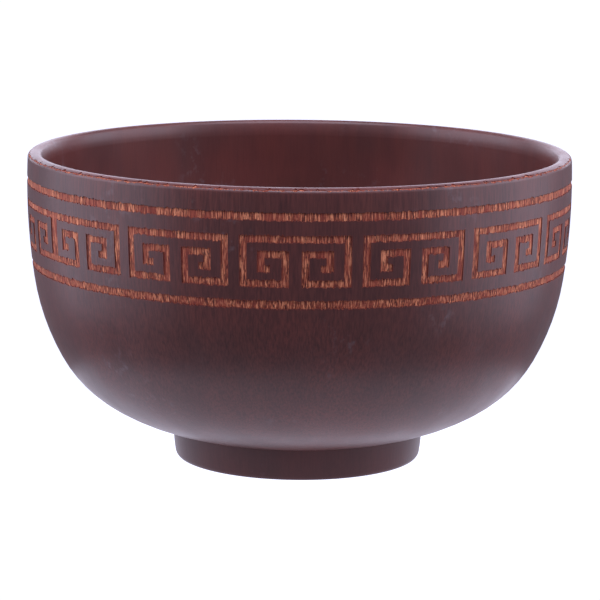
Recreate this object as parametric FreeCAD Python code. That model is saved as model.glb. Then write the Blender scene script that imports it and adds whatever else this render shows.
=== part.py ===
"""A turned wooden bowl on a foot ring, lacquered dark, with a Greek key border.

The bowl is a turned cup. A short tenon under it is glued into a turned foot ring. Stain and
lacquer coat both, all but the land that the foot stands on and a rubbed line round the lip.
The border is cut through the coat, so that pale wood shows: a plain line above, a plain line
below, and key units between them. The coat is therefore in separate stretches, one node each.

Frame: millimetres, +Z up along the turning axis, origin at the centre of the foot's land.
Sections are drawn in the XZ plane, with X as the radius, and turned about Z. They are drawn on
the outer surface of the coat, and the wood is the same section one coat deeper.

A turn is the way that a surface faces in its section, in degrees below straight outwards:
0 outwards, 90 down, -90 up, and 180 or -180 towards the axis.
"""

import FreeCAD
import Part
import math
import os

# Bowl, mm
HEIGHT = 85.45           # from the land to the crest of the lip
BOWL_RADIUS = 75.0       # widest point of the wall
WIDEST_HEIGHT = 76.2     # height of the widest point
COAT = 0.3               # depth of the stained and lacquered layer

# Outside, tangent arcs from the lip down to the foot: radius, and turn where each ends
WALL_ROUND = 178.4
WALL_END = 8.0
BELLY_ROUND = 64.6
BELLY_END = 28.5
HAUNCH_ROUND = 36.2
HAUNCH_END = 59.0
UNDERSIDE_ROUND = 57.0

# Lip
LIP_OUTER_ROUND = 1.3
CROWN_ROUND = 3.7
CROWN_END = -65.0        # turn where the crown meets the outer corner
LIP_INNER_ROUND = 1.5
LIP_INNER_END = -160.0   # turn where the inner corner eases into the mouth
MOUTH_ROUND = 10.0
WORN_EDGE = (-60.0, -38.0)   # turns between which the outer corner is rubbed to the wood

# Inside, below the upright mouth: radius, and turn where each ends
MOUTH_BOTTOM = 76.2
INNER_WALL_ROUND = 176.0
INNER_WALL_END = -170.0
INNER_BELLY_ROUND = 32.0
INNER_BELLY_END = -113.5

# Foot ring
FOOT_RADIUS = 34.8       # where the foot meets the underside
FOOT_WALL_END = 9.0      # turn of the foot's wall where it meets the bottom round
FOOT_OUTER_ROUND = 1.7
FOOT_INNER_ROUND = 0.9
FOOT_COAT_END = 45.0     # turn at which the coat stops on the bottom round
BORE_RADIUS = 29.9       # bore of the ring, and tenon of the bowl
RECESS_DEPTH = 5.0       # from the land up to the coated base

# Border, heights above the land
LOWER_LINE = (54.6, 56.7)
UPPER_LINE = (77.3, 79.3)
KEY_BOTTOM = 60.25
KEY_TOP = 73.5
KEY_STROKE = 1.8         # height of a level stroke
HOOK_TOP = 69.6          # upper edge of the level stroke inside a spiral
TAIL_TOP = 65.9          # upper edge of the short stroke that ends a spiral

# Border, degrees round the bowl
KEY_UNITS = 15
UNIT_SWEEP = 21.85       # one unit is a spiral and its mirror image under one top stroke
SPIRAL_SWEEP = 9.65
STROKE_SWEEP = 1.4       # width of an upright stroke
HOOK_START = 3.5         # from a spiral's outer edge to the upright stroke inside it
TAIL_END = 5.95          # from a spiral's outer edge to the end of its tail
SEAM_ANGLE = 210.1       # where the last unit meets the first, from +X towards +Y
SEAM_OVERLAP = 0.06      # how much those two share

CUTTER_REACH = 4.0       # how far a stroke's cutter stands either side of the widest point
AXIS_FOOT = FreeCAD.Vector(0, 0, 0)
AXIS_UP = FreeCAD.Vector(0, 0, 1)


def section_point(radius, height):
    """A point of the XZ plane. The rounding puts points that belong on the axis exactly there."""
    return FreeCAD.Vector(round(radius, 9), 0, round(height, 9))


def stepped(start, distance, turn):
    """The (radius, height) at a distance from a start, in the direction of a turn."""
    direction = math.radians(turn)
    return start[0] + distance * math.cos(direction), start[1] - distance * math.sin(direction)


class Outline:
    """Arcs and lines of a section, end to end, on the outer surface of the coat.

    A piece is (first centre, last centre, radius, first turn, last turn). An arc has one
    centre, and its radius is negative where the surface is hollow. A line has one turn.
    """

    def __init__(self, radius, height):
        self.end = (radius, height)
        self.pieces = []

    def arc(self, radius, turn_from, turn_to):
        centre = stepped(self.end, -radius, turn_from)
        self.pieces.append((centre, centre, radius, turn_from, turn_to))
        self.end = stepped(centre, radius, turn_to)
        return self

    def line(self, radius, height, turn):
        self.pieces.append((self.end, (radius, height), 0.0, turn, turn))
        self.end = (radius, height)
        return self

    def stretch(self, turn_from, turn_to):
        """The part of the arcs that faces between two turns."""
        part = Outline(*self.end)
        for first, last, radius, start, stop in self.pieces:
            start, stop = max(start, turn_from), min(stop, turn_to)
            if start < stop:
                part.pieces.append((first, last, radius, start, stop))
        return part

    def edges(self, depth):
        """The outline as edges, this deep below the surface of the coat."""
        made = []
        for first, last, radius, start, stop in self.pieces:
            begin = section_point(*stepped(first, radius - depth, start))
            finish = section_point(*stepped(last, radius - depth, stop))
            if start == stop:
                curve = Part.LineSegment(begin, finish)
            else:
                middle = section_point(*stepped(first, radius - depth, (start + stop) / 2))
                curve = Part.Arc(begin, middle, finish)
            made.append(curve.toShape())
        return made

    def first_cap(self):
        """The edge through the coat, square to its surface, where the outline starts."""
        centre, _, radius, turn, _ = self.pieces[0]
        return coat_edge(centre, radius, turn)

    def last_cap(self):
        """The same, where the outline ends."""
        _, centre, radius, _, turn = self.pieces[-1]
        return coat_edge(centre, radius, turn)


def coat_edge(centre, radius, turn):
    """A straight edge from the surface of the coat to the wood, square to both."""
    surface = section_point(*stepped(centre, radius, turn))
    wood = section_point(*stepped(centre, radius - COAT, turn))
    return Part.LineSegment(surface, wood).toShape()


def closed_face(edges):
    return Part.Face(Part.Wire(Part.__sortEdges__(edges)))


def path(*corners):
    """Straight edges from corner to corner."""
    return Part.makePolygon([section_point(*corner) for corner in corners]).Edges


def turned(face, sweep=360.0):
    """The solid that a section makes when it is turned about the axis."""
    return face.revolve(AXIS_FOOT, AXIS_UP, sweep).Solids[0]


def shell_over(outline):
    """The coat over one outline, as a turned shell."""
    caps = [outline.first_cap(), outline.last_cap()]
    return turned(closed_face(outline.edges(0) + outline.edges(COAT) + caps))


def wall_turn(height):
    """The turn of the outer wall at a height."""
    return math.degrees(math.asin((WIDEST_HEIGHT - height) / WALL_ROUND))


def lip_crest():
    """The radius of the crest, and the turn at which the lip's outer corner meets the wall."""
    tip = math.radians(CROWN_END)
    corner_height = HEIGHT - CROWN_ROUND * (1 + math.sin(tip)) + LIP_OUTER_ROUND * math.sin(tip)
    wall_to_corner = WALL_ROUND - LIP_OUTER_ROUND
    lean = math.asin((WIDEST_HEIGHT - corner_height) / wall_to_corner)
    corner_radius = BOWL_RADIUS - WALL_ROUND + wall_to_corner * math.cos(lean)
    return corner_radius - (CROWN_ROUND - LIP_OUTER_ROUND) * math.cos(tip), math.degrees(lean)


def outside():
    """From the crest over the lip's outer corner and down to the foot."""
    crest_radius, wall_start = lip_crest()
    outline = Outline(crest_radius, HEIGHT)
    outline.arc(CROWN_ROUND, -90, CROWN_END)
    outline.arc(LIP_OUTER_ROUND, CROWN_END, wall_start)
    outline.arc(WALL_ROUND, wall_start, WALL_END)
    outline.arc(BELLY_ROUND, WALL_END, BELLY_END)
    outline.arc(HAUNCH_ROUND, BELLY_END, HAUNCH_END)
    centre_radius = stepped(outline.end, -UNDERSIDE_ROUND, HAUNCH_END)[0]
    foot_turn = math.degrees(math.acos((FOOT_RADIUS - centre_radius) / UNDERSIDE_ROUND))
    return outline.arc(UNDERSIDE_ROUND, HAUNCH_END, foot_turn)


def inside():
    """From the crest over the lip's inner corner and down to the centre of the floor."""
    outline = Outline(lip_crest()[0], HEIGHT)
    outline.arc(LIP_INNER_ROUND, -90, LIP_INNER_END)
    outline.arc(MOUTH_ROUND, LIP_INNER_END, -180)
    outline.line(outline.end[0], MOUTH_BOTTOM, -180)
    outline.arc(-INNER_WALL_ROUND, -180, INNER_WALL_END)
    outline.arc(-INNER_BELLY_ROUND, INNER_WALL_END, INNER_BELLY_END)
    floor_round = outline.end[0] / math.cos(math.radians(INNER_BELLY_END))
    return outline.arc(floor_round, INNER_BELLY_END, -90)


def foot_outside():
    """From the underside down the foot's wall and round to the land.

    The surface of the coat is drawn right round, though the coat itself stops short. The land
    is bare, so it is one coat deeper, at height 0.
    """
    seat = outside().end[1]
    bottom_round = FOOT_OUTER_ROUND + COAT
    wall_lean = math.sin(math.radians(FOOT_WALL_END))
    wall_round = (seat - FOOT_OUTER_ROUND) / wall_lean + bottom_round
    outline = Outline(FOOT_RADIUS, seat)
    outline.arc(wall_round, 0, FOOT_WALL_END)
    return outline.arc(bottom_round, FOOT_WALL_END, 90)


def bowl_body():
    """The turned cup, bare, with its tenon."""
    outer, cavity = outside(), inside()
    seat = outer.end[1]
    base = RECESS_DEPTH + COAT
    floor = cavity.end[1] - COAT
    under = path(outer.end, (BORE_RADIUS, seat), (BORE_RADIUS, base), (0, base), (0, floor))
    return turned(closed_face(cavity.edges(COAT) + outer.edges(COAT) + [outer.last_cap()] + under))


def foot_ring():
    """The turned ring, bare. Its bore takes the tenon, and its top seats under the bowl."""
    outer = foot_outside()
    seat = outer.pieces[0][0][1]
    inner = Outline(BORE_RADIUS + FOOT_INNER_ROUND, 0).arc(FOOT_INNER_ROUND, 90, 180)
    land = path((outer.end[0], 0), (BORE_RADIUS + FOOT_INNER_ROUND, 0))
    top = path(inner.end, (BORE_RADIUS, seat), (FOOT_RADIUS - COAT, seat))
    return turned(closed_face(outer.edges(COAT) + land + inner.edges(0) + top))


def inner_coat():
    """The coat of the inside, carried over the crest to the rubbed line."""
    cavity = inside()
    lip = outside().stretch(-90, WORN_EDGE[0])
    surface = cavity.edges(0) + lip.edges(0)
    wood = cavity.edges(COAT) + lip.edges(COAT)
    return turned(closed_face(surface + wood + [cavity.last_cap(), lip.last_cap()]))


def collar_coat():
    """The coat from the rubbed line down to the upper line of the border."""
    return shell_over(outside().stretch(WORN_EDGE[1], wall_turn(UPPER_LINE[1])))


def band_coat():
    """The coat between the two lines, with the key units cut through it."""
    band = shell_over(outside().stretch(wall_turn(UPPER_LINE[0]), wall_turn(LOWER_LINE[1])))
    unit = key_unit()
    pitch = (360 - UNIT_SWEEP + SEAM_OVERLAP) / (KEY_UNITS - 1)
    units = []
    for index in range(KEY_UNITS):
        copy = unit.copy()
        copy.rotate(AXIS_FOOT, AXIS_UP, SEAM_ANGLE + index * pitch)
        units.append(copy)
    return band.cut(units)


def key_unit():
    """Cutters for one unit, from angle 0: the top stroke, and the two spirals under it."""
    strokes = [stroke(0, UNIT_SWEEP, KEY_TOP - KEY_STROKE, KEY_TOP)]
    for start, end, low, high in spiral_strokes():
        strokes.append(stroke(start, end, low, high))
        strokes.append(stroke(UNIT_SWEEP - end, UNIT_SWEEP - start, low, high))
    return strokes[0].fuse(strokes[1:]).removeSplitter()


def spiral_strokes():
    """The strokes of a left-hand spiral, from the outside in: first and last angle, low and high."""
    return [
        (0, STROKE_SWEEP, KEY_BOTTOM, KEY_TOP),
        (0, SPIRAL_SWEEP, KEY_BOTTOM, KEY_BOTTOM + KEY_STROKE),
        (SPIRAL_SWEEP - STROKE_SWEEP, SPIRAL_SWEEP, KEY_BOTTOM, HOOK_TOP),
        (HOOK_START, SPIRAL_SWEEP, HOOK_TOP - KEY_STROKE, HOOK_TOP),
        (HOOK_START, HOOK_START + STROKE_SWEEP, TAIL_TOP - KEY_STROKE, HOOK_TOP),
        (HOOK_START, TAIL_END, TAIL_TOP - KEY_STROKE, TAIL_TOP),
    ]


def stroke(start, end, low, high):
    """A cutter through the wall, between two angles and two heights."""
    near = BOWL_RADIUS - CUTTER_REACH
    far = BOWL_RADIUS + CUTTER_REACH
    section = closed_face(path((near, low), (far, low), (far, high), (near, high), (near, low)))
    cutter = turned(section, end - start)
    cutter.rotate(AXIS_FOOT, AXIS_UP, start)
    return cutter


def lower_coat():
    """The coat from the lower line of the border down to the foot."""
    outline = outside()
    return shell_over(outline.stretch(wall_turn(LOWER_LINE[0]), 90))


def foot_coat():
    """The coat of the foot's wall. It stops on the bottom round, clear of the land."""
    return shell_over(foot_outside().stretch(0, FOOT_COAT_END))


def recess_coat():
    """The coat of the ring's bore and of the base inside it."""
    bore = BORE_RADIUS - COAT
    base = RECESS_DEPTH + COAT
    surface = path((0, RECESS_DEPTH), (bore, RECESS_DEPTH), (bore, FOOT_INNER_ROUND))
    wood = path((bore, FOOT_INNER_ROUND), (BORE_RADIUS, FOOT_INNER_ROUND), (BORE_RADIUS, base), (0, base))
    return turned(closed_face(surface + wood + path((0, base), (0, RECESS_DEPTH))))


NODES = {
    "bowl_body": bowl_body,
    "foot_ring": foot_ring,
    "inner_coat": inner_coat,
    "collar_coat": collar_coat,
    "band_coat": band_coat,
    "lower_coat": lower_coat,
    "foot_coat": foot_coat,
    "recess_coat": recess_coat,
}

os.makedirs("parts", exist_ok=True)
for name, make in NODES.items():
    shape = make()
    shape.exportStep(f"parts/{name}.step")
    print(name, "valid" if shape.isValid() else "NOT VALID", len(shape.Solids), round(shape.Volume, 1))
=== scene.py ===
"""Looks for a turned wooden bowl: dark satin lacquer with a Greek key border cut through it.

Every piece is a fine lathe mesh that stands for one CAD node. The lacquer is a thin shell, and
the wood under it shows where the shell is cut away. Lengths are in metres, the bowl's axis is Z
and the camera is on the -Y side.

A turn is the way that a surface faces in its section, in degrees below straight outwards:
0 outwards, 90 down, -90 up, and 180 or -180 towards the axis.
"""

import math

import bpy
import numpy as np
from mathutils import Matrix, Vector


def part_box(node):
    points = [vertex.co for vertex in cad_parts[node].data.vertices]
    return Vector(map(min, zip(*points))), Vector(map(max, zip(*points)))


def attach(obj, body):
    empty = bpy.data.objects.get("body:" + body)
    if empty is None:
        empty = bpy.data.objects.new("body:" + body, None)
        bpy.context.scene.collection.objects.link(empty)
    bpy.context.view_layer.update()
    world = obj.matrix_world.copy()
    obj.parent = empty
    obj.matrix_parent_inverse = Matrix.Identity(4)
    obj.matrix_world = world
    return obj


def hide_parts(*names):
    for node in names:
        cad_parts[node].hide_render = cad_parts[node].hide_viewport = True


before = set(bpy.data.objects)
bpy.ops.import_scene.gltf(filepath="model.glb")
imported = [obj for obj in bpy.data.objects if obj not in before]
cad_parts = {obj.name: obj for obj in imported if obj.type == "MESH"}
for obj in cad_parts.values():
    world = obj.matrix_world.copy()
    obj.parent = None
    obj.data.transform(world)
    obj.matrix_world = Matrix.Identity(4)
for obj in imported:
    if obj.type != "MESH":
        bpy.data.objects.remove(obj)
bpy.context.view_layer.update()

# Camera, in metres, degrees and millimetres of lens
TARGET = Vector((0, 0, 0.040))
CAMERA_DISTANCE = 0.78825
CAMERA_ELEVATION = 10.63
CAMERA_ROLL = 0.50
FOCAL_LENGTH = 169.55
SHIFT_X = 0.0026
SHIFT_Y = 0.0207

# Bowl
COAT = 0.0003
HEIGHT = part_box("inner_coat")[1].z
BOWL_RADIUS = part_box("band_coat")[1].x
WIDEST_HEIGHT = 0.0762
WALL_ROUND = 0.1784      # tangent arcs down the outside: radius, and turn where each ends
WALL_END = 8.0
BELLY_ROUND = 0.0646
BELLY_END = 28.5
HAUNCH_ROUND = 0.0362
HAUNCH_END = 59.0
UNDERSIDE_ROUND = 0.0570

# Lip
LIP_OUTER_ROUND = 0.0013
CROWN_ROUND = 0.0037
CROWN_END = -65.0
LIP_INNER_ROUND = 0.0015
LIP_INNER_END = -160.0
MOUTH_ROUND = 0.010
LIP_ROWS = 7             # rows of mesh from the crest to the rubbed line
WORN_EDGE = (-59.0, -40.0)   # turns between which the outer corner is rubbed to the wood
WORN_RAGGED = 7.0        # how far its two sides wander, in degrees of turn
WORN_RUN = 2.2           # how wide their bumps are, in columns
WORN_LEAST = 0.5         # how near each side may come to the middle, in degrees of turn

# Inside
MOUTH_BOTTOM = 0.0762
INNER_WALL_ROUND = 0.176
INNER_WALL_END = -170.0
INNER_BELLY_ROUND = 0.032
INNER_BELLY_END = -113.5

# Foot
FOOT_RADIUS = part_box("foot_coat")[1].x
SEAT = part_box("foot_coat")[1].z
FOOT_WALL_END = 9.0
FOOT_OUTER_ROUND = 0.0017
FOOT_INNER_ROUND = 0.0009
FOOT_COAT_END = 45.0
BORE_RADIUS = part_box("recess_coat")[1].x
RECESS_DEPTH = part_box("recess_coat")[1].z - COAT

# Border, heights
LOWER_LINE = (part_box("lower_coat")[1].z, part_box("band_coat")[0].z)
UPPER_LINE = (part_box("band_coat")[1].z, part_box("collar_coat")[0].z)
KEY_BOTTOM = 0.06025
KEY_TOP = 0.0735
KEY_STROKE = 0.0018
HOOK_TOP = 0.0696
TAIL_TOP = 0.0659

# Border, degrees round the bowl
KEY_UNITS = 15
UNIT_SWEEP = 21.85
SPIRAL_SWEEP = 9.65
STROKE_SWEEP = 1.4
HOOK_START = 3.5
TAIL_END = 5.95
SEAM_ANGLE = 210.1
SEAM_OVERLAP = 0.06

# Meshes
COLUMN = 0.2             # degrees between the columns of the border
SMOOTH_COLUMNS = 720
RECESS_COLUMNS = 360
CUP_COLUMNS = 1200
SHARP_ANGLE = math.radians(40)
ARC_TURN = 6.0           # the most that an arc turns from row to row
ARC_STEP = 0.0016        # the most that a surface runs from row to row
BAND_STEP = 0.00208
INNER_STEP = 0.0019
LOWER_STEP = 0.0045
CUP_STEP = 0.006
TENON_STEP = 0.06
LIP_DEPTH = 0.006        # how far down inside the lip's finer mesh goes
AXIS = 1e-7              # nearer to the axis than this, a row is one point

# Fibres
FRINGE = 0.00025         # how far the stain is thinned beside a cut edge
RAGGED = 0.00013         # how far the wood's fibres carry a level edge up and down
FIBRE_RUN = 0.9          # how wide those fibres are, in columns
RAGGED_MOST = 2.4        # the largest bump of an uneven line, in its standard deviations
FIBRE_RELIEF = 0.00003   # how far the strands of bare wood stand apart
RELIEF_RUN = 1.5
WOOD_SINK = 0.62         # bare wood, as a share of the lacquer's depth
RUBBED_DEPTH = 0.25      # wood of the rubbed line, as a share of the lacquer's depth

# Lacquer
LACQUER_DARK = (0.067, 0.0200, 0.0178)
LACQUER_RED = (0.098, 0.0240, 0.0203)
LACQUER_WARM = (0.124, 0.0310, 0.0220)
LACQUER_PORE = (0.032, 0.0100, 0.0100)
LACQUER_SCUFF = (0.150, 0.110, 0.120)
LACQUER_EDGE = (0.150, 0.0260, 0.0175)
LACQUER_ROUGHNESS = (0.34, 0.42)
LACQUER_IOR = 1.42
LACQUER_GLOSS = 0.5
OUTER_PORES = 0.8        # how far the pores show dark in the lacquer
# fewer dark pores inside: partly a smoother look, partly painted light that makes the inside lighter than
# the lamps alone do
INNER_PORES_PAINTED_LIGHT = 0.2
WARM_SHARE = 0.3
SCUFF_SHARE = 0.4
FOOT_PAINTED_SHADE = 0.6         # painted shade: how far the foot is darkened towards the colour of a pore, for the shadow under the bowl
FOOT_GLOSS = 0.28

# Bare wood
WOOD_IOR = 1.30
WOOD_ROUGHNESS = 0.75
WOOD_LIGHT = (0.630, 0.232, 0.120)
WOOD_MID = (0.320, 0.082, 0.040)
WOOD_DARK = (0.125, 0.027, 0.019)
WOOD_PORE = (0.060, 0.015, 0.013)
WOOD_RED = (0.220, 0.038, 0.026)

# Patterns in the wood, width across the fibres and length along them
LACQUER_CLOUDS = (0.020, 0.030)
LACQUER_BANDS = (0.0045, 0.050)
LACQUER_FIBRES = (0.00045, 0.007)
RUBBED_PATCHES = (0.020, 0.018)
RUBBED_MARKS = (0.0028, 0.0036)
FRAYED_EDGE = (0.00030, 0.0020)
GLOSS_PATCHES = (0.012, 0.020)
RIPPLES = (0.006, 0.012)
WOOD_STRANDS = (0.00030, 0.0050)
WOOD_PORES = (0.00026, 0.0015)
WOOD_CLOUDS = (0.0030, 0.008)

# Relief of the patterns
FIBRE_BUMP = 0.00003
RIPPLE_BUMP = 0.00008
STRAND_BUMP = 0.00012

# Studio
TABLE_RADIUS = 0.095
TABLE_CORNERS = 180
TABLE_GREY = 0.02
TABLE_ROUGHNESS = 0.6
TABLE_GLOW = 1.45
COOL_WHITE = (0.79, 0.81, 1.0)
WORLD_LIGHT = 0.33
WORLD_SEEN = 1.3
SIDE_POWER = 12.8
SIDE_PLACE = (1.10, 0.0, 0.20)
SIDE_SIZE = (1.5, 1.3)
UPPER_POWER = 8.0
UPPER_PLACE = (1.00, 0.0, 0.70)
TOP_POWER = 26.0
TOP_PLACE = (0.0, -0.35, 1.20)
TOP_SIZE = (1.3, 1.0)    # and of the two upper side boxes
BACK_POWER = 6.5
BACK_PLACE = (0.0, 1.00, 0.34)
BACK_SIZE = (1.6, 0.5)

SEED = 11
rng = np.random.default_rng(SEED)


# ---------------------------------------------------------------- sections

def stepped(start, distance, turn):
    """The (radius, height) at a distance from a start, in the direction of a turn."""
    direction = math.radians(turn)
    return start[0] + distance * math.cos(direction), start[1] - distance * math.sin(direction)


class Outline:
    """Arcs and lines of a section, end to end, on the outer surface of the lacquer."""

    def __init__(self, radius, height):
        self.end = (radius, height)
        self.pieces = []

    def arc(self, radius, turn_from, turn_to):
        centre = stepped(self.end, -radius, turn_from)
        self.pieces.append((centre, centre, radius, turn_from, turn_to))
        self.end = stepped(centre, radius, turn_to)
        return self

    def line(self, radius, height, turn):
        self.pieces.append((self.end, (radius, height), 0.0, turn, turn))
        self.end = (radius, height)
        return self

    def stretch(self, turn_from, turn_to):
        """The part of the arcs that faces between two turns."""
        part = Outline(*self.end)
        for first, last, radius, start, stop in self.pieces:
            start, stop = max(start, turn_from), min(stop, turn_to)
            if start < stop:
                part.pieces.append((first, last, radius, start, stop))
        return part

    def at(self, turns, depth):
        """The (radius, height) of the arcs at an array of turns, this deep under the surface."""
        turns = np.asarray(turns, float)
        direction = np.radians(turns)
        found = np.zeros(turns.shape + (2,))
        for centre, _, radius, start, stop in self.pieces:
            reach = radius - depth
            radii = centre[0] + reach * np.cos(direction)
            heights = centre[1] - reach * np.sin(direction)
            here = (turns >= start) & (turns <= stop)
            found[here] = np.stack([radii, heights], axis=-1)[here]
        return found

    def turns(self, step=ARC_STEP):
        """Turns along the arcs, close enough together for a smooth surface."""
        found = [self.pieces[0][3]]
        for _, _, radius, start, stop in self.pieces:
            length = math.radians(stop - start) * radius
            count = max(1, math.ceil(length / step), math.ceil((stop - start) / ARC_TURN))
            found.extend(np.linspace(start, stop, count + 1)[1:])
        return np.array(found)

    def points(self, depth, step=ARC_STEP):
        """Points along the outline, this deep under the lacquer's surface."""
        found = []
        for first, last, radius, start, stop in self.pieces:
            length = abs(math.radians(stop - start) * radius) + math.dist(first, last)
            count = max(1, math.ceil(length / step), math.ceil(abs(stop - start) / ARC_TURN))
            for share in np.linspace(0, 1, count + 1)[1 if found else 0:]:
                centre = [a + (b - a) * share for a, b in zip(first, last)]
                found.append(stepped(centre, radius - depth, start + (stop - start) * share))
        return np.array(found)


def wall_turn(height):
    """The turn of the outer wall at a height, for one height or an array."""
    return np.degrees(np.arcsin((WIDEST_HEIGHT - height) / WALL_ROUND))


def lip_crest():
    """The radius of the crest, and the turn at which the lip's outer corner meets the wall."""
    tip = math.radians(CROWN_END)
    corner_height = HEIGHT - CROWN_ROUND * (1 + math.sin(tip)) + LIP_OUTER_ROUND * math.sin(tip)
    wall_to_corner = WALL_ROUND - LIP_OUTER_ROUND
    lean = math.asin((WIDEST_HEIGHT - corner_height) / wall_to_corner)
    corner_radius = BOWL_RADIUS - WALL_ROUND + wall_to_corner * math.cos(lean)
    return corner_radius - (CROWN_ROUND - LIP_OUTER_ROUND) * math.cos(tip), math.degrees(lean)


def outside():
    """From the crest over the lip's outer corner and down to the foot."""
    crest_radius, wall_start = lip_crest()
    outline = Outline(crest_radius, HEIGHT)
    outline.arc(CROWN_ROUND, -90, CROWN_END)
    outline.arc(LIP_OUTER_ROUND, CROWN_END, wall_start)
    outline.arc(WALL_ROUND, wall_start, WALL_END)
    outline.arc(BELLY_ROUND, WALL_END, BELLY_END)
    outline.arc(HAUNCH_ROUND, BELLY_END, HAUNCH_END)
    centre_radius = stepped(outline.end, -UNDERSIDE_ROUND, HAUNCH_END)[0]
    foot_turn = math.degrees(math.acos((FOOT_RADIUS - centre_radius) / UNDERSIDE_ROUND))
    return outline.arc(UNDERSIDE_ROUND, HAUNCH_END, foot_turn)


def inside():
    """From the crest over the lip's inner corner and down to the centre of the floor."""
    outline = Outline(lip_crest()[0], HEIGHT)
    outline.arc(LIP_INNER_ROUND, -90, LIP_INNER_END)
    outline.arc(MOUTH_ROUND, LIP_INNER_END, -180)
    outline.line(outline.end[0], MOUTH_BOTTOM, -180)
    outline.arc(-INNER_WALL_ROUND, -180, INNER_WALL_END)
    outline.arc(-INNER_BELLY_ROUND, INNER_WALL_END, INNER_BELLY_END)
    floor_round = outline.end[0] / math.cos(math.radians(INNER_BELLY_END))
    return outline.arc(floor_round, INNER_BELLY_END, -90)


def foot_outside():
    """From the underside down the foot's wall and round to the land."""
    bottom_round = FOOT_OUTER_ROUND + COAT
    wall_lean = math.sin(math.radians(FOOT_WALL_END))
    wall_round = (SEAT - FOOT_OUTER_ROUND) / wall_lean + bottom_round
    outline = Outline(FOOT_RADIUS, SEAT)
    outline.arc(wall_round, 0, FOOT_WALL_END)
    return outline.arc(bottom_round, FOOT_WALL_END, 90)


# ------------------------------------------------------------------ meshes

def even_angles(count):
    return np.linspace(0, 360, count, endpoint=False)


def ragged(count, amount, run):
    """A seeded uneven line round the bowl: count values, with bumps about run values long."""
    waves = np.fft.rfft(rng.standard_normal(count))
    waves *= np.exp(-(np.arange(len(waves)) * run / count * 2) ** 2)
    line = np.fft.irfft(waves, count)
    return np.clip(line / line.std(), -RAGGED_MOST, RAGGED_MOST) * amount


def ring_points(rows, angles):
    """Rows of (radius, height), each one pair or one per angle, turned to points: (row, angle, 3)."""
    rows = np.asarray(rows, float)
    if rows.ndim == 2:
        rows = np.repeat(rows[:, None, :], len(angles), axis=1)
    turn = np.radians(angles)
    x = rows[..., 0] * np.cos(turn)
    y = rows[..., 0] * np.sin(turn)
    return np.stack([x, y, rows[..., 1]], axis=-1)


def add_piece(name, points, faces, material, node, fringe=None):
    """A mesh object from points and faces that stands for a CAD node and moves with the bowl."""
    mesh = bpy.data.meshes.new(name)
    mesh.from_pydata(points.reshape(-1, 3).tolist(), [], faces)
    if fringe is not None:
        layer = mesh.attributes.new("fringe", "FLOAT", "POINT")
        layer.data.foreach_set("value", fringe.astype(np.float32).ravel())
    mesh.shade_smooth()
    mesh.set_sharp_from_angle(angle=SHARP_ANGLE)
    mesh.materials.append(material)
    piece = bpy.data.objects.new(name, mesh)
    bpy.context.collection.objects.link(piece)
    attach(piece, "root")
    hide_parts(node)
    return piece


def section_area(section):
    """The area inside a loop of (radius, height), positive if it runs anticlockwise."""
    following = np.roll(section, -1, axis=0)
    return np.sum(section[:, 0] * following[:, 1] - following[:, 0] * section[:, 1]) / 2


def lathe(name, rows, angles, material, node, fringe_rows=None):
    """A closed turned piece. Its section is a loop of rows, and a row on the axis is one point."""
    points = ring_points(rows, angles)
    count, columns = points.shape[:2]
    section = np.stack([np.hypot(points[:, 0, 0], points[:, 0, 1]), points[:, 0, 2]], axis=1)
    on_axis = section[:, 0] < AXIS
    index = np.zeros((count, columns), int)
    kept = []
    for row in range(count):
        first = len(kept)
        kept.extend([(row, 0)] if on_axis[row] else [(row, column) for column in range(columns)])
        index[row] = first if on_axis[row] else first + np.arange(columns)
    faces = []
    forward = 1 if section_area(section) > 0 else -1
    for row in range(count):
        below = (row + 1) % count
        if on_axis[row] and on_axis[below]:
            continue
        corners = [index[row], np.roll(index[row], -1), np.roll(index[below], -1), index[below]]
        quads = np.stack(corners, axis=1)
        if on_axis[row]:
            quads = quads[:, [0, 2, 3]]
        elif on_axis[below]:
            quads = quads[:, [0, 1, 2]]
        faces.extend(quads[:, ::forward].tolist())
    rows_kept, columns_kept = np.array(kept).T
    fringe = None
    if fringe_rows is not None:
        fringe = np.isin(rows_kept, fringe_rows).astype(float)
    return add_piece(name, points[rows_kept, columns_kept], faces, material, node, fringe)


# ------------------------------------------------------------------ border

def spiral_strokes():
    """The strokes of a left-hand spiral, from the outside in: first and last angle, low and high."""
    return [
        (0, STROKE_SWEEP, KEY_BOTTOM, KEY_TOP),
        (0, SPIRAL_SWEEP, KEY_BOTTOM, KEY_BOTTOM + KEY_STROKE),
        (SPIRAL_SWEEP - STROKE_SWEEP, SPIRAL_SWEEP, KEY_BOTTOM, HOOK_TOP),
        (HOOK_START, SPIRAL_SWEEP, HOOK_TOP - KEY_STROKE, HOOK_TOP),
        (HOOK_START, HOOK_START + STROKE_SWEEP, TAIL_TOP - KEY_STROKE, HOOK_TOP),
        (HOOK_START, TAIL_END, TAIL_TOP - KEY_STROKE, TAIL_TOP),
    ]


def all_strokes():
    """Every stroke of every unit, with its angles measured from the seam."""
    unit = [(0, UNIT_SWEEP, KEY_TOP - KEY_STROKE, KEY_TOP)]
    for start, end, low, high in spiral_strokes():
        unit.append((start, end, low, high))
        unit.append((UNIT_SWEEP - end, UNIT_SWEEP - start, low, high))
    pitch = (360 - UNIT_SWEEP + SEAM_OVERLAP) / (KEY_UNITS - 1)
    strokes = []
    for number in range(KEY_UNITS):
        for start, end, low, high in unit:
            strokes.append((start + number * pitch, min(end + number * pitch, 360), low, high))
    return strokes


def divided(marks, step):
    """The marks in order, with even steps between them no longer than step."""
    marks = sorted(set(np.round(marks, 9)))
    found = []
    for low, high in zip(marks, marks[1:]):
        found.extend(np.linspace(low, high, math.ceil((high - low) / step) + 1)[:-1])
    return np.array(found + [marks[-1]])


def border_columns():
    """Angles from the seam round the bowl, one at each upright edge and no more than COLUMN apart."""
    edges = [angle for stroke in all_strokes() for angle in stroke[:2]]
    return divided(edges + [0, 360], COLUMN)[:-1]


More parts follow.
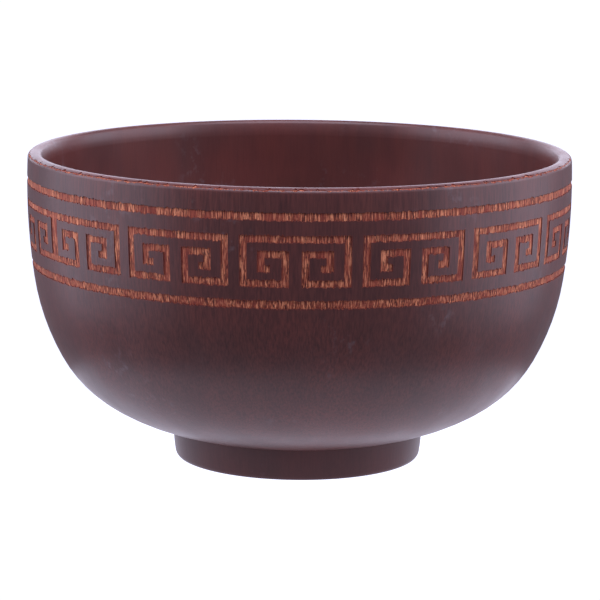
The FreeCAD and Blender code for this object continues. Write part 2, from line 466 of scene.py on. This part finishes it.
def border_heights():
    """Heights from line to line, one at each level edge, and one FRINGE to the lacquer's side of it."""
    lows = [KEY_BOTTOM, TAIL_TOP - KEY_STROKE, HOOK_TOP - KEY_STROKE, KEY_TOP - KEY_STROKE, UPPER_LINE[0]]
    highs = [LOWER_LINE[1], KEY_BOTTOM + KEY_STROKE, TAIL_TOP, HOOK_TOP, KEY_TOP]
    beside = [low - FRINGE for low in lows] + [high + FRINGE for high in highs]
    return divided(lows + highs + beside, BAND_STEP), np.array(lows + highs)


def band_lacquer(material, columns, edge_lines):
    """The lacquer between the two lines: a grid without the cells inside the strokes, and its edges."""
    heights, edges = border_heights()
    middles_up = (heights[1:] + heights[:-1]) / 2
    sides = np.append(columns, 360)
    middles_round = (sides[1:] + sides[:-1]) / 2
    cut = np.zeros((len(middles_up), len(middles_round)), bool)
    for start, end, low, high in all_strokes():
        up = (middles_up > low) & (middles_up < high)
        along = (middles_round > start) & (middles_round < end)
        cut |= up[:, None] & along[None, :]

    nearest = np.abs(heights[:, None] - edges[None, :]).argmin(axis=1)
    beside = np.abs(heights - edges[nearest]) < FRINGE * 1.01
    lifts = np.where(beside[:, None], edge_lines[nearest], 0)
    lifted = heights[:, None] + lifts
    turns = wall_turn(lifted)
    layers = [ring_points(outside().at(turns, depth), columns + SEAM_ANGLE) for depth in (0, COAT)]
    points = np.concatenate(layers)
    return grid_shell("band_lacquer", points, cut, material)


def grid_shell(name, points, cut, material):
    """A closed shell from a front and a back grid of points round the bowl, without the cut cells."""
    rows, columns = len(points) // 2, points.shape[1]
    index = np.arange(2 * rows * columns).reshape(2, rows, columns)
    kept = ~cut
    right = np.roll(index, -1, axis=2)
    corners = [index[:, :-1], right[:, :-1], right[:, 1:], index[:, 1:]]
    front = np.stack([corner[0][kept] for corner in corners], axis=1)
    rear = np.stack([corner[1][kept] for corner in reversed(corners)], axis=1)

    padded = np.zeros((rows + 1, columns), bool)
    padded[1:-1] = kept
    below, above = padded[:-1], padded[1:]
    floors = walls_between(index[0], right[0], index[1], right[1], above & ~below)
    ceilings = walls_between(right[0], index[0], right[1], index[1], below & ~above)
    before = np.roll(kept, 1, axis=1)
    low, high = index[:, :-1], index[:, 1:]
    lefts = walls_between(high[0], low[0], high[1], low[1], kept & ~before)
    rights = walls_between(low[0], high[0], low[1], high[1], before & ~kept)

    edge = np.zeros(2 * rows * columns)
    walls = np.concatenate([floors, ceilings, lefts, rights])
    edge[walls.ravel()] = 1
    faces = np.concatenate([front, rear, walls])
    used = np.unique(faces)
    renumbered = np.zeros(2 * rows * columns, int)
    renumbered[used] = np.arange(len(used))
    return add_piece(name, points.reshape(-1, 3)[used], renumbered[faces].tolist(), material,
                     "band_coat", edge[used])


def walls_between(front_a, front_b, back_a, back_b, where):
    """Quads from the front to the back of a shell, along the edges that where picks out."""
    return np.stack([front_b[where], front_a[where], back_a[where], back_b[where]], axis=1)


# ----------------------------------------------------------------- lacquer

def shell_rows(start, stop, step=ARC_STEP):
    """Rows of a closed shell over the outside, from one line of turns to another, and the edge rows.

    The lines hold one turn per column. The rows go along the surface and come back along the wood.
    """
    skin = outside()
    marks = skin.stretch(start.mean(), stop.mean()).turns(step)
    shares = (marks - marks[0]) / (marks[-1] - marks[0])
    beside = FRINGE / (math.radians(marks[-1] - marks[0]) * WALL_ROUND)
    shares = np.sort(np.append(shares, beside))
    turns = start[None, :] + shares[:, None] * (stop - start)[None, :]
    surface = skin.at(turns, 0)
    wood = skin.at(turns, COAT)
    return np.concatenate([surface, wood[::-1]]), [0, 2 * len(turns) - 1]


def inner_lacquer(material):
    """The lacquer of the inside, from the centre of the floor up to the lip's finer mesh."""
    layers = [inside().points(depth, INNER_STEP) for depth in (COAT, 0)]
    first = np.count_nonzero(layers[0][:, 1] > HEIGHT - LIP_DEPTH)
    rows = np.concatenate([layers[0][first - 1:], layers[1][first - 1:][::-1]])
    around = even_angles(SMOOTH_COLUMNS)
    return lathe("inner_lacquer", rows, around, material, "inner_coat")


def lip_lacquer(material, columns, edge):
    """The same lacquer, carried up over the crest to the rubbed line."""
    skin = outside()
    lip = np.linspace(0, 1, LIP_ROWS + 1)[1:, None] * (edge + 90)[None, :] - 90
    first = np.count_nonzero(inside().points(COAT, INNER_STEP)[:, 1] > HEIGHT - LIP_DEPTH)
    layers = []
    for depth in (0, COAT):
        mouth = np.repeat(inside().points(depth, INNER_STEP)[:first][::-1, None, :], len(columns), axis=1)
        layers.append(np.concatenate([mouth, skin.at(lip, depth)]))
    count = len(layers[0])
    rows = np.concatenate([layers[0], layers[1][::-1]])
    ends = [count - 1, count]
    return lathe("lip_lacquer", rows, columns, material, "inner_coat", ends)


def foot_lacquer(material):
    """The lacquer of the foot's wall, down onto its bottom round."""
    outline = foot_outside().stretch(0, FOOT_COAT_END)
    rows = np.concatenate([outline.points(0), outline.points(COAT)[::-1]])
    around = even_angles(SMOOTH_COLUMNS)
    return lathe("foot_lacquer", rows, around, material, "foot_coat")


def recess_lacquer(material):
    """The lacquer of the ring's bore and of the base inside it."""
    bore = BORE_RADIUS - COAT
    base = RECESS_DEPTH + COAT
    surface = Outline(0, RECESS_DEPTH).line(bore, RECESS_DEPTH, 90).line(bore, FOOT_INNER_ROUND, 180)
    wood = Outline(BORE_RADIUS, FOOT_INNER_ROUND).line(BORE_RADIUS, base, 180).line(0, base, 90)
    rows = np.concatenate([surface.points(0), wood.points(0)])
    around = even_angles(RECESS_COLUMNS)
    return lathe("recess_lacquer", rows, around, material, "recess_coat")


# -------------------------------------------------------------------- wood

def cup_wood(material):
    """The turned cup, with its fibres standing a little proud, and its tenon."""
    skin = outside()
    angles = even_angles(CUP_COLUMNS)
    turns = skin.turns(CUP_STEP)
    relief = COAT * WOOD_SINK + np.abs(ragged(len(angles), FIBRE_RELIEF, RELIEF_RUN))
    bare = np.exp(-((turns - np.mean(WORN_EDGE)) / (WORN_EDGE[1] - WORN_EDGE[0]) * 2) ** 4)
    depths = COAT + (relief[None, :] - COAT) * ((turns > WORN_EDGE[1] + 1) & (turns < WALL_END))[:, None]
    depths = depths * (1 - bare[:, None]) + COAT * RUBBED_DEPTH * bare[:, None]
    surface = np.zeros((len(turns), len(angles), 2))
    for row, turn in enumerate(turns):
        flat = skin.at(np.array([turn]), 0)[0]
        way = np.array([math.cos(math.radians(turn)), -math.sin(math.radians(turn))])
        surface[row] = flat - depths[row][:, None] * way
    cavity = np.repeat(inside().points(COAT, CUP_STEP)[::-1, None, :], len(angles), axis=1)
    base = RECESS_DEPTH + COAT
    under = Outline(BORE_RADIUS, SEAT).line(BORE_RADIUS, base, 0).line(0, base, 90)
    tenon = np.repeat(under.points(0, TENON_STEP)[:, None, :], len(angles), axis=1)
    rows = np.concatenate([cavity[:-1], surface, tenon])
    return lathe("cup_wood", rows, angles, material, "bowl_body")


def foot_wood(material):
    """The turned foot ring, bare on the land that it stands on."""
    outer = foot_outside().points(COAT)
    inner = Outline(BORE_RADIUS + FOOT_INNER_ROUND, 0).arc(FOOT_INNER_ROUND, 90, 180)
    inner.line(BORE_RADIUS, SEAT, 180)
    rows = np.concatenate([outer, inner.points(0)])
    return lathe("foot_wood", rows, even_angles(SMOOTH_COLUMNS), material, "foot_ring")


# --------------------------------------------------------------- materials

class Shader:
    """A material with one Principled surface, and short ways to add patterns to it."""

    def __init__(self, name):
        self.material = bpy.data.materials.new(name)
        self.material.use_nodes = True
        self.tree = self.material.node_tree
        self.surface = self.tree.nodes["Principled BSDF"]
        self.place = self.add("ShaderNodeTexCoord").outputs["Object"]

    def add(self, kind, inputs=None, **settings):
        """A node with its settings, and its inputs set by number or name to values or to sockets."""
        node = self.tree.nodes.new(kind)
        for name, value in settings.items():
            setattr(node, name, value)
        for name, value in (inputs or {}).items():
            self.feed(node.inputs[name], value)
        return node

    def feed(self, socket, value):
        if isinstance(value, bpy.types.NodeSocket):
            self.tree.links.new(value, socket)
        else:
            socket.default_value = value

    def noise(self, size, detail=2.0, roughness=0.5, offset=0.0):
        """Noise in the wood's own directions. Its offset keeps one pattern apart from the others."""
        width, length = size
        place = self.add("ShaderNodeMapping", {
            "Vector": self.place,
            "Location": (offset, offset, offset),
            "Scale": (1 / width, 1 / width, 1 / length),
        })
        noise = self.add("ShaderNodeTexNoise", {
            "Vector": place.outputs[0], "Scale": 1.0, "Detail": detail, "Roughness": roughness,
        })
        return noise.outputs["Fac"]

    def ramp(self, value, stops, interpolation="LINEAR"):
        """A colour ramp, with stops of (place, colour) or (place, grey)."""
        node = self.add("ShaderNodeValToRGB", {"Fac": value})
        ramp = node.color_ramp
        ramp.interpolation = interpolation
        for number, (spot, colour) in enumerate(stops):
            element = ramp.elements[number] if number < 2 else ramp.elements.new(spot)
            element.position = spot
            element.color = (colour, colour, colour, 1) if isinstance(colour, float) else (*colour, 1)
        return node.outputs["Color"]

    def span(self, value, low, high, to_low=0.0, to_high=1.0):
        """The value moved from one range to another, and kept in it."""
        node = self.add("ShaderNodeMapRange", {
            "Value": value, "From Min": low, "From Max": high, "To Min": to_low, "To Max": to_high,
        })
        return node.outputs["Result"]

    def mix(self, share, first, second, blend="MIX"):
        """Two colours mixed. A colour is three numbers or a socket."""
        node = self.add("ShaderNodeMix", data_type="RGBA", blend_type=blend)
        for name, value in ((0, share), (6, first), (7, second)):
            self.feed(node.inputs[name], (*value, 1) if isinstance(value, tuple) else value)
        return node.outputs[2]

    def maths(self, operation, first, second):
        node = self.add("ShaderNodeMath", {0: first, 1: second}, operation=operation)
        return node.outputs[0]

    def bump(self, height, distance, strength=1.0, normal=None):
        node = self.add("ShaderNodeBump", {"Height": height, "Distance": distance, "Strength": strength})
        if normal is not None:
            self.feed(node.inputs["Normal"], normal)
        return node.outputs["Normal"]


def lacquer_material(name, pores, painted_shade=0.0, gloss=LACQUER_GLOSS):
    """Stain and satin lacquer over upright fibres: dark red-brown, uneven, and redder at cut edges.

    The stain goes from the painted-shade share, between the fibres, to pores, in them, towards a pore's
    colour. That painted-shade share darkens a whole piece, as if it stood in shadow, where it is above
    nought.
    """
    shader = Shader(name)
    clouds = shader.noise(LACQUER_CLOUDS, detail=3.0)
    bands = shader.noise(LACQUER_BANDS, offset=3.0)
    fibres = shader.noise(LACQUER_FIBRES, detail=3.0, roughness=0.65, offset=7.0)
    stain = shader.mix(shader.span(clouds, 0.35, 0.65), LACQUER_DARK, LACQUER_RED)
    stain = shader.mix(shader.span(bands, 0.40, 0.70, 0.0, WARM_SHARE), stain, LACQUER_WARM)
    stain = shader.mix(shader.span(fibres, 0.30, 0.62, pores, painted_shade), stain, LACQUER_PORE)
    rubbed = shader.span(shader.noise(RUBBED_PATCHES, detail=1.0, offset=31.0), 0.56, 0.68)
    marks = shader.noise(RUBBED_MARKS, detail=3.0, roughness=0.65, offset=37.0)
    scuffs = shader.maths("MULTIPLY", rubbed, shader.span(marks, 0.55, 0.72, 0.0, SCUFF_SHARE))
    stain = shader.mix(scuffs, stain, LACQUER_SCUFF)
    edge = shader.add("ShaderNodeAttribute", attribute_name="fringe").outputs["Fac"]
    frayed = shader.noise(FRAYED_EDGE, offset=11.0)
    worn = shader.maths("MULTIPLY", edge, shader.span(frayed, 0.35, 0.65, 0.25, 1.0))
    shader.feed(shader.surface.inputs["Base Color"], shader.mix(worn, stain, LACQUER_EDGE))
    gloss_patches = shader.noise(GLOSS_PATCHES, detail=3.0, offset=19.0)
    rough = shader.span(gloss_patches, 0.3, 0.7, *LACQUER_ROUGHNESS)
    shader.feed(shader.surface.inputs["Roughness"], rough)
    shader.surface.inputs["IOR"].default_value = LACQUER_IOR
    shader.surface.inputs["Specular IOR Level"].default_value = gloss
    grain = shader.bump(fibres, FIBRE_BUMP, 0.6)
    ripple = shader.bump(shader.noise(RIPPLES, offset=23.0), RIPPLE_BUMP, 0.5, grain)
    shader.feed(shader.surface.inputs["Normal"], ripple)
    return shader.material


def wood_material():
    """Bare wood with upright fibres: light orange-brown, with dark pores between pale strands."""
    shader = Shader("bare_wood")
    strands = shader.noise(WOOD_STRANDS, detail=1.5, roughness=0.6)
    pores = shader.noise(WOOD_PORES, detail=1.0, roughness=0.6, offset=5.0)
    clouds = shader.noise(WOOD_CLOUDS, offset=9.0)
    tone = shader.ramp(strands, [(0.39, WOOD_DARK), (0.50, WOOD_MID), (0.62, WOOD_LIGHT)])
    tone = shader.mix(shader.span(pores, 0.34, 0.48, 0.9, 0.0), tone, WOOD_PORE)
    tone = shader.mix(shader.span(clouds, 0.42, 0.66, 0.0, 0.6), tone, WOOD_RED)
    shader.feed(shader.surface.inputs["Base Color"], tone)
    shader.surface.inputs["Roughness"].default_value = WOOD_ROUGHNESS
    shader.surface.inputs["IOR"].default_value = WOOD_IOR
    shader.feed(shader.surface.inputs["Normal"], shader.bump(strands, STRAND_BUMP, 0.8))
    return shader.material


def table_material():
    """Plain white that glows by itself and takes no shadow, as a light table does."""
    shader = Shader("white_table")
    shader.surface.inputs["Base Color"].default_value = (TABLE_GREY, TABLE_GREY, TABLE_GREY, 1)
    shader.surface.inputs["Roughness"].default_value = TABLE_ROUGHNESS
    shader.surface.inputs["Emission Color"].default_value = (*COOL_WHITE, 1)
    shader.surface.inputs["Emission Strength"].default_value = TABLE_GLOW
    return shader.material


# ------------------------------------------------------------------ studio

def make_camera():
    """The camera at the bowl's front, a little above it, leaning a little to one side."""
    data = bpy.data.cameras.new("camera")
    data.sensor_width = 36
    data.lens = FOCAL_LENGTH
    data.shift_x = SHIFT_X
    data.shift_y = SHIFT_Y
    data.clip_start = 0.01
    camera = bpy.data.objects.new("camera", data)
    bpy.context.collection.objects.link(camera)
    rise = math.radians(CAMERA_ELEVATION)
    back = Vector((0, -math.cos(rise), math.sin(rise)))
    turn = back.to_track_quat("Z", "Y").to_matrix() @ Matrix.Rotation(math.radians(CAMERA_ROLL), 3, "Z")
    camera.matrix_world = Matrix.Translation(TARGET + back * CAMERA_DISTANCE) @ turn.to_4x4()
    bpy.context.scene.camera = camera


def make_floor():
    """The round white stand that the bowl is on. Its edge is lost against the white behind it."""
    mesh = bpy.data.meshes.new("floor")
    edge = ring_points([(TABLE_RADIUS, 0)], even_angles(TABLE_CORNERS))[0]
    mesh.from_pydata(edge.tolist(), [], [tuple(range(TABLE_CORNERS))])
    mesh.materials.append(table_material())
    floor = bpy.data.objects.new("floor", mesh)
    bpy.context.collection.objects.link(floor)


def soft_light(name, place, size, power):
    """A soft box that faces the bowl."""
    data = bpy.data.lights.new(name, "AREA")
    data.shape = "RECTANGLE"
    data.size, data.size_y = size
    data.energy = power
    data.color = COOL_WHITE
    light = bpy.data.objects.new(name, data)
    bpy.context.collection.objects.link(light)
    light.location = place
    light.rotation_euler = (Vector(place) - TARGET).to_track_quat("Z", "Y").to_euler()
    light.visible_camera = False


def make_world():
    """White where the camera sees it, and dim in what it lights."""
    world = bpy.data.worlds.new("world")
    bpy.context.scene.world = world
    world.use_nodes = True
    tree = world.node_tree
    background = tree.nodes["Background"]
    background.inputs["Color"].default_value = (*COOL_WHITE, 1)
    seen = tree.nodes.new("ShaderNodeLightPath").outputs["Is Camera Ray"]
    strength = tree.nodes.new("ShaderNodeMapRange")
    strength.inputs["To Min"].default_value = WORLD_LIGHT
    strength.inputs["To Max"].default_value = WORLD_SEEN
    tree.links.new(seen, strength.inputs["Value"])
    tree.links.new(strength.outputs["Result"], background.inputs["Strength"])


# ------------------------------------------------------------------- build

def build():
    lacquer = lacquer_material("outer_lacquer", OUTER_PORES)
    # the inside and lip wear a lighter copy of the lacquer: painted light on the inside of the bowl
    smooth_painted_light_lacquer = lacquer_material("inner_lacquer", INNER_PORES_PAINTED_LIGHT)
    # the foot's copy of the lacquer is darker and duller: painted shade for the shadow under the bowl, on
    # the foot and in its recess
    foot_painted_shade = lacquer_material("foot_lacquer", OUTER_PORES, FOOT_PAINTED_SHADE, FOOT_GLOSS)
    wood = wood_material()
    columns = border_columns()
    count = len(columns)
    heights, edges = border_heights()
    edge_lines = np.array([ragged(count, RAGGED, FIBRE_RUN) for _ in edges])
    band_lacquer(lacquer, columns, edge_lines)

    around = columns + SEAM_ANGLE
    middle = sum(WORN_EDGE) / 2
    inner_edge = np.minimum(WORN_EDGE[0] + ragged(count, WORN_RAGGED, WORN_RUN), middle - WORN_LEAST)
    collar_top = np.maximum(WORN_EDGE[1] + ragged(count, WORN_RAGGED, WORN_RUN), middle + WORN_LEAST)
    inner_lacquer(smooth_painted_light_lacquer)
    lip_lacquer(smooth_painted_light_lacquer, around, inner_edge)
    collar_bottom = wall_turn(UPPER_LINE[1] + ragged(count, RAGGED, FIBRE_RUN))
    rows, ends = shell_rows(collar_top, collar_bottom)
    lathe("collar_lacquer", rows, around, lacquer, "collar_coat", ends)
    lower_top = wall_turn(LOWER_LINE[0] + ragged(count, RAGGED, FIBRE_RUN))
    lower_bottom = np.full(count, outside().pieces[-1][4])
    rows, ends = shell_rows(lower_top, lower_bottom, LOWER_STEP)
    lathe("lower_lacquer", rows, around, lacquer, "lower_coat", ends)
    foot_lacquer(foot_painted_shade)
    recess_lacquer(foot_painted_shade)
    cup_wood(wood)
    foot_wood(wood)


bpy.context.scene.view_settings.view_transform = "Standard"
make_camera()
make_floor()
make_world()
for side, way in (("left", -1), ("right", 1)):
    soft_light(side + "_box", (way * SIDE_PLACE[0], *SIDE_PLACE[1:]), SIDE_SIZE, SIDE_POWER)
    soft_light(side + "_upper_box", (way * UPPER_PLACE[0], *UPPER_PLACE[1:]), TOP_SIZE, UPPER_POWER)
soft_light("top_box", TOP_PLACE, TOP_SIZE, TOP_POWER)
soft_light("back_box", BACK_PLACE, BACK_SIZE, BACK_POWER)
build()
